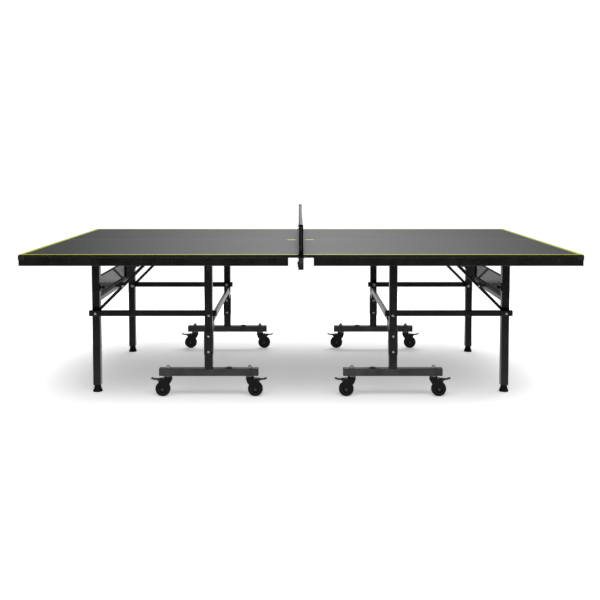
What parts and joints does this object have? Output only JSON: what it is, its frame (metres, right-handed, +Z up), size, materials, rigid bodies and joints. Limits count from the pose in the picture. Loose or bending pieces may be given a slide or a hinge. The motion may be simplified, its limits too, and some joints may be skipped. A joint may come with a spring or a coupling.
{
  "type": "ping pong table",
  "caption": "Folding table tennis table in two wheeled halves, with a board on a steel rim, posts on caster rails, folding legs with locking braces and a clamp-on net.",
  "frame": {"origin": "on the floor, straight below the middle of the net", "axes": "+X along the table's length, +Y across it, +Z up from the floor"},
  "size_m": [2.747, 1.832, 0.9185],
  "materials": {
    "board_surface": "satin painted board with lime lines",
    "black_steel": "black powder coat, semi-gloss",
    "rail_steel": "charcoal powder coat, satin",
    "black_rubber": "matt black rubber",
    "black_plastic": "fine-grained black plastic",
    "zinc": "bright zinc plate",
    "bracket_steel": "black zinc plate",
    "caster_wheel": "grey-black rubber on a plastic hub",
    "net_mesh": "black knitted mesh",
    "net_tape": "woven white tape"
  },
  "bodies": {
    "left_wheel_frame": {"left_post_frame": "black_steel", "left_base_rails": "rail_steel", "left_rail_caps": "black_plastic", "left_frame_bolts": "zinc"},
    "left_top": {"left_board": "board_surface", "left_top_frame": "black_steel", "left_corner_pads": "black_rubber", "left_pivot_brackets": "bracket_steel"},
    "left_legs": {"left_leg_frame": "black_steel", "left_leg_latches": "black_plastic"},
    "left_links": {"left_link_bars": "black_steel"},
    "left_brace_tops": {"left_upper_braces": "black_steel"},
    "left_brace_feet": {"left_lower_braces": "black_steel"},
    "right_wheel_frame": {"right_post_frame": "black_steel", "right_base_rails": "rail_steel", "right_rail_caps": "black_plastic", "right_frame_bolts": "zinc"},
    "right_top": {"right_board": "board_surface", "right_top_frame": "black_steel", "right_corner_pads": "black_rubber", "right_pivot_brackets": "bracket_steel"},
    "right_legs": {"right_leg_frame": "black_steel", "right_leg_latches": "black_plastic"},
    "right_links": {"right_link_bars": "black_steel"},
    "right_brace_tops": {"right_upper_braces": "black_steel"},
    "right_brace_feet": {"right_lower_braces": "black_steel"},
    "left_near_leg_foot": {"left_near_foot": "black_rubber"},
    "left_far_leg_foot": {"left_far_foot": "black_rubber"},
    "right_near_leg_foot": {"right_near_foot": "black_rubber"},
    "right_far_leg_foot": {"right_far_foot": "black_rubber"},
    "near_net_clamp": {"near_net_post": "black_steel"},
    "near_clamp_screw": {"near_net_screw": "black_plastic"},
    "far_net_clamp": {"far_net_post": "black_steel"},
    "far_clamp_screw": {"far_net_screw": "black_plastic"},
    "net_fabric": {"net_mesh": "net_mesh", "net_tape": "net_tape"},
    "left_near_inner_swivel": {"left_near_inner_fork": "black_plastic"},
    "left_near_inner_roller": {"left_near_inner_wheel": "caster_wheel"},
    "left_near_inner_pedal": {"left_near_inner_brake": "black_plastic"},
    "left_near_outer_swivel": {"left_near_outer_fork": "black_plastic"},
    "left_near_outer_roller": {"left_near_outer_wheel": "caster_wheel"},
    "left_near_outer_pedal": {"left_near_outer_brake": "black_plastic"},
    "left_far_inner_swivel": {"left_far_inner_fork": "black_plastic"},
    "left_far_inner_roller": {"left_far_inner_wheel": "caster_wheel"},
    "left_far_inner_pedal": {"left_far_inner_brake": "black_plastic"},
    "left_far_outer_swivel": {"left_far_outer_fork": "black_plastic"},
    "left_far_outer_roller": {"left_far_outer_wheel": "caster_wheel"},
    "left_far_outer_pedal": {"left_far_outer_brake": "black_plastic"},
    "right_near_inner_swivel": {"right_near_inner_fork": "black_plastic"},
    "right_near_inner_roller": {"right_near_inner_wheel": "caster_wheel"},
    "right_near_inner_pedal": {"right_near_inner_brake": "black_plastic"},
    "right_near_outer_swivel": {"right_near_outer_fork": "black_plastic"},
    "right_near_outer_roller": {"right_near_outer_wheel": "caster_wheel"},
    "right_near_outer_pedal": {"right_near_outer_brake": "black_plastic"},
    "right_far_inner_swivel": {"right_far_inner_fork": "black_plastic"},
    "right_far_inner_roller": {"right_far_inner_wheel": "caster_wheel"},
    "right_far_inner_pedal": {"right_far_inner_brake": "black_plastic"},
    "right_far_outer_swivel": {"right_far_outer_fork": "black_plastic"},
    "right_far_outer_roller": {"right_far_outer_wheel": "caster_wheel"},
    "right_far_outer_pedal": {"right_far_outer_brake": "black_plastic"}
  },
  "joints": [
    {"name": "left_fold", "type": "hinge", "parent": "left_wheel_frame", "child": "left_top", "pos_m": [-0.472, 0, 0.7], "axis": [0, 1, 0], "range_deg": [0, 88], "deforming": ["net_mesh", "net_tape"]},
    {"name": "right_fold", "type": "hinge", "parent": "right_wheel_frame", "child": "right_top", "pos_m": [0.472, 0, 0.7], "axis": [0, -1, 0], "range_deg": [0, 88]},
    {"name": "roll_apart", "type": "slide", "parent": "left_wheel_frame", "child": "right_wheel_frame", "axis": [1, 0, 0], "range_m": [0, 0.5]},
    {"name": "left_near_foot_screw", "type": "slide", "parent": "left_legs", "child": "left_near_leg_foot", "axis": [0, 0, -1], "range_m": [0, 0.015]},
    {"name": "left_far_foot_screw", "type": "slide", "parent": "left_legs", "child": "left_far_leg_foot", "axis": [0, 0, -1], "range_m": [0, 0.015]},
    {"name": "right_near_foot_screw", "type": "slide", "parent": "right_legs", "child": "right_near_leg_foot", "axis": [0, 0, -1], "range_m": [0, 0.015]},
    {"name": "right_far_foot_screw", "type": "slide", "parent": "right_legs", "child": "right_far_leg_foot", "axis": [0, 0, -1], "range_m": [0, 0.015]},
    {"name": "near_net_slide", "type": "slide", "parent": "left_top", "child": "near_net_clamp", "axis": [0, -1, 0], "range_m": [0, 0.06], "deforming": ["net_mesh", "net_tape"]},
    {"name": "near_clamp_turn", "type": "slide", "parent": "near_net_clamp", "child": "near_clamp_screw", "axis": [0, 0, -1], "range_m": [0, 0.012]},
    {"name": "far_net_slide", "type": "slide", "parent": "left_top", "child": "far_net_clamp", "axis": [0, 1, 0], "range_m": [0, 0.06], "deforming": ["net_mesh", "net_tape"]},
    {"name": "far_clamp_turn", "type": "slide", "parent": "far_net_clamp", "child": "far_clamp_screw", "axis": [0, 0, -1], "range_m": [0, 0.012]},
    {"name": "net_lift", "type": "slide", "parent": "left_top", "child": "net_fabric", "axis": [0, 0, 1], "range_m": [0, 0.2], "deforming": ["net_mesh", "net_tape"]},
    {"name": "left_leg_fold", "type": "hinge", "parent": "left_top", "child": "left_legs", "pos_m": [-1.067, 0, 0.7], "axis": [0, 1, 0], "range_deg": [-88, 0]},
    {"name": "left_link_fold", "type": "hinge", "parent": "left_wheel_frame", "child": "left_links", "pos_m": [-0.472, 0, 0.424], "axis": [0, 1, 0], "range_deg": [0, 88]},
    {"name": "left_brace_top_fold", "type": "hinge", "parent": "left_top", "child": "left_brace_tops", "pos_m": [-0.765, 0, 0.726], "axis": [0, 1, 0], "range_deg": [0, 27.48]},
    {"name": "left_brace_foot_fold", "type": "hinge", "parent": "left_legs", "child": "left_brace_feet", "pos_m": [-1.067, 0, 0.424], "axis": [0, 1, 0], "range_deg": [-56.89, 0]},
    {"name": "right_leg_fold", "type": "hinge", "parent": "right_top", "child": "right_legs", "pos_m": [1.067, 0, 0.7], "axis": [0, -1, 0], "range_deg": [-88, 0]},
    {"name": "right_link_fold", "type": "hinge", "parent": "right_wheel_frame", "child": "right_links", "pos_m": [0.472, 0, 0.424], "axis": [0, -1, 0], "range_deg": [0, 88]},
    {"name": "right_brace_top_fold", "type": "hinge", "parent": "right_top", "child": "right_brace_tops", "pos_m": [0.765, 0, 0.726], "axis": [0, -1, 0], "range_deg": [0, 27.48]},
    {"name": "right_brace_foot_fold", "type": "hinge", "parent": "right_legs", "child": "right_brace_feet", "pos_m": [1.067, 0, 0.424], "axis": [0, -1, 0], "range_deg": [-56.89, 0]},
    {"name": "left_near_inner_brake_press", "type": "hinge", "parent": "left_near_inner_swivel", "child": "left_near_inner_pedal", "pos_m": [-0.217, -0.54, 0.086], "axis": [0, 1, 0], "range_deg": [0, 12]},
    {"name": "left_near_outer_brake_press", "type": "hinge", "parent": "left_near_outer_swivel", "child": "left_near_outer_pedal", "pos_m": [-0.731, -0.54, 0.086], "axis": [0, -1, 0], "range_deg": [0, 12]},
    {"name": "left_far_inner_brake_press", "type": "hinge", "parent": "left_far_inner_swivel", "child": "left_far_inner_pedal", "pos_m": [-0.217, 0.54, 0.086], "axis": [0, 1, 0], "range_deg": [0, 12]},
    {"name": "left_far_outer_brake_press", "type": "hinge", "parent": "left_far_outer_swivel", "child": "left_far_outer_pedal", "pos_m": [-0.731, 0.54, 0.086], "axis": [0, -1, 0], "range_deg": [0, 12]},
    {"name": "right_near_inner_brake_press", "type": "hinge", "parent": "right_near_inner_swivel", "child": "right_near_inner_pedal", "pos_m": [0.217, -0.54, 0.086], "axis": [0, -1, 0], "range_deg": [0, 12]},
    {"name": "right_near_outer_brake_press", "type": "hinge", "parent": "right_near_outer_swivel", "child": "right_near_outer_pedal", "pos_m": [0.731, -0.54, 0.086], "axis": [0, 1, 0], "range_deg": [0, 12]},
    {"name": "right_far_inner_brake_press", "type": "hinge", "parent": "right_far_inner_swivel", "child": "right_far_inner_pedal", "pos_m": [0.217, 0.54, 0.086], "axis": [0, -1, 0], "range_deg": [0, 12]},
    {"name": "right_far_outer_brake_press", "type": "hinge", "parent": "right_far_outer_swivel", "child": "right_far_outer_pedal", "pos_m": [0.731, 0.54, 0.086], "axis": [0, 1, 0], "range_deg": [0, 12]},
    {"name": "left_near_inner_swivel_turn", "type": "hinge", "parent": "left_wheel_frame", "child": "left_near_inner_swivel", "pos_m": [-0.263, -0.54, 0.1], "axis": [0, 0, 1], "continuous": true},
    {"name": "left_near_outer_swivel_turn", "type": "hinge", "parent": "left_wheel_frame", "child": "left_near_outer_swivel", "pos_m": [-0.685, -0.54, 0.1], "axis": [0, 0, 1], "continuous": true},
    {"name": "left_far_inner_swivel_turn", "type": "hinge", "parent": "left_wheel_frame", "child": "left_far_inner_swivel", "pos_m": [-0.263, 0.54, 0.1], "axis": [0, 0, 1], "continuous": true},
    {"name": "left_far_outer_swivel_turn", "type": "hinge", "parent": "left_wheel_frame", "child": "left_far_outer_swivel", "pos_m": [-0.685, 0.54, 0.1], "axis": [0, 0, 1], "continuous": true},
    {"name": "right_near_inner_swivel_turn", "type": "hinge", "parent": "right_wheel_frame", "child": "right_near_inner_swivel", "pos_m": [0.263, -0.54, 0.1], "axis": [0, 0, 1], "continuous": true},
    {"name": "right_near_outer_swivel_turn", "type": "hinge", "parent": "right_wheel_frame", "child": "right_near_outer_swivel", "pos_m": [0.685, -0.54, 0.1], "axis": [0, 0, 1], "continuous": true},
    {"name": "right_far_inner_swivel_turn", "type": "hinge", "parent": "right_wheel_frame", "child": "right_far_inner_swivel", "pos_m": [0.263, 0.54, 0.1], "axis": [0, 0, 1], "continuous": true},
    {"name": "right_far_outer_swivel_turn", "type": "hinge", "parent": "right_wheel_frame", "child": "right_far_outer_swivel", "pos_m": [0.685, 0.54, 0.1], "axis": [0, 0, 1], "continuous": true},
    {"name": "left_near_inner_wheel_spin", "type": "hinge", "parent": "left_near_inner_swivel", "child": "left_near_inner_roller", "pos_m": [-0.235, -0.54, 0.039], "axis": [0, 1, 0], "continuous": true},
    {"name": "left_near_outer_wheel_spin", "type": "hinge", "parent": "left_near_outer_swivel", "child": "left_near_outer_roller", "pos_m": [-0.713, -0.54, 0.039], "axis": [0, 1, 0], "continuous": true},
    {"name": "left_far_inner_wheel_spin", "type": "hinge", "parent": "left_far_inner_swivel", "child": "left_far_inner_roller", "pos_m": [-0.235, 0.54, 0.039], "axis": [0, 1, 0], "continuous": true},
    {"name": "left_far_outer_wheel_spin", "type": "hinge", "parent": "left_far_outer_swivel", "child": "left_far_outer_roller", "pos_m": [-0.713, 0.54, 0.039], "axis": [0, 1, 0], "continuous": true},
    {"name": "right_near_inner_wheel_spin", "type": "hinge", "parent": "right_near_inner_swivel", "child": "right_near_inner_roller", "pos_m": [0.235, -0.54, 0.039], "axis": [0, 1, 0], "continuous": true},
    {"name": "right_near_outer_wheel_spin", "type": "hinge", "parent": "right_near_outer_swivel", "child": "right_near_outer_roller", "pos_m": [0.713, -0.54, 0.039], "axis": [0, 1, 0], "continuous": true},
    {"name": "right_far_inner_wheel_spin", "type": "hinge", "parent": "right_far_inner_swivel", "child": "right_far_inner_roller", "pos_m": [0.235, 0.54, 0.039], "axis": [0, 1, 0], "continuous": true},
    {"name": "right_far_outer_wheel_spin", "type": "hinge", "parent": "right_far_outer_swivel", "child": "right_far_outer_roller", "pos_m": [0.713, 0.54, 0.039], "axis": [0, 1, 0], "continuous": true}
  ],
  "couplings": [
    {"joint": "left_leg_fold", "follows": "left_fold", "ratio": -1},
    {"joint": "left_link_fold", "follows": "left_fold", "ratio": 1},
    {"joint": "left_brace_top_fold", "follows": "left_fold", "ratio": 0.31226},
    {"joint": "left_brace_foot_fold", "follows": "left_fold", "ratio": -0.64649},
    {"joint": "right_leg_fold", "follows": "right_fold", "ratio": -1},
    {"joint": "right_link_fold", "follows": "right_fold", "ratio": 1},
    {"joint": "right_brace_top_fold", "follows": "right_fold", "ratio": 0.31226},
    {"joint": "right_brace_foot_fold", "follows": "right_fold", "ratio": -0.64649}
  ]
}
